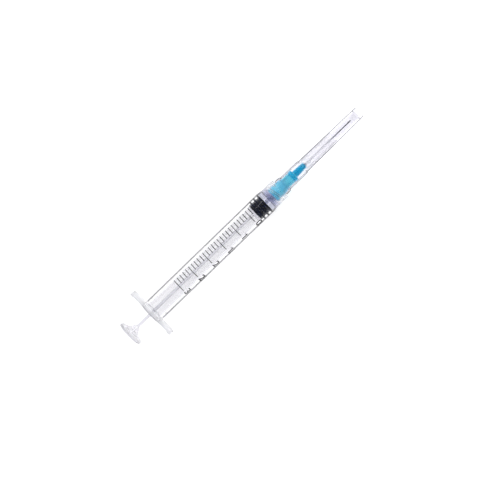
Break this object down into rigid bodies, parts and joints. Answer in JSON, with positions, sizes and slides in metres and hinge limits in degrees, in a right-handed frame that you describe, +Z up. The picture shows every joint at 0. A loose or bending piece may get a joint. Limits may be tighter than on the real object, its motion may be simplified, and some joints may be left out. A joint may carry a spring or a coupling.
{
  "type": "disposable syringe",
  "caption": "Slim clear disposable syringe lying on its side, with a black stopper, a cross-ribbed plunger, a locking collar and a capped needle on a light blue hub.",
  "frame": {"origin": "on the barrel's axis, in the plane of the finger flange's front face", "axes": "+X along the axis to the needle's point, Y along the flange's wings, +Z up as it lies on a table"},
  "size_m": [0.1375, 0.0244, 0.0126],
  "materials": {
    "barrel_plastic": "clear polypropylene, faintly milky, moulded gloss",
    "rod_plastic": "clear to milky polypropylene, moulded gloss",
    "stopper_rubber": "black moulded rubber with a film of silicone oil",
    "hub_plastic": "light blue tinted see-through polypropylene",
    "needle_steel": "drawn stainless steel tube",
    "clear_glue": "clear cured epoxy",
    "cap_plastic": "clear polypropylene, moulded gloss"
  },
  "bodies": {
    "barrel": {"barrel": "barrel_plastic"},
    "stopper": {"stopper": "stopper_rubber"},
    "plunger_rod": {"plunger_rod": "rod_plastic"},
    "needle_bond": {"needle_bond": "clear_glue"},
    "needle_hub": {"needle_hub": "hub_plastic", "cannula": "needle_steel"},
    "needle_cap": {"needle_cap": "cap_plastic"}
  },
  "joints": [
    {"name": "plunger_slide", "type": "slide", "parent": "barrel", "child": "stopper", "axis": [-1, 0, 0], "range_m": [0, 0.0575]},
    {"name": "plunger_turn", "type": "hinge", "parent": "stopper", "child": "plunger_rod", "pos_m": [0.0624, 0, 0], "axis": [1, 0, 0], "continuous": true},
    {"name": "hub_advance", "type": "slide", "parent": "barrel", "child": "needle_bond", "axis": [1, 0, 0], "range_m": [0, 0.0101]},
    {"name": "hub_turn", "type": "hinge", "parent": "needle_bond", "child": "needle_hub", "pos_m": [0.0781, 0, 0], "axis": [1, 0, 0], "range_deg": [0, 720]},
    {"name": "cap_pull", "type": "slide", "parent": "needle_hub", "child": "needle_cap", "axis": [1, 0, 0], "range_m": [0, 0.045]}
  ],
  "couplings": [
    {"joint": "hub_advance", "follows": "hub_turn", "m_per_rad": 0.00079577}
  ]
}
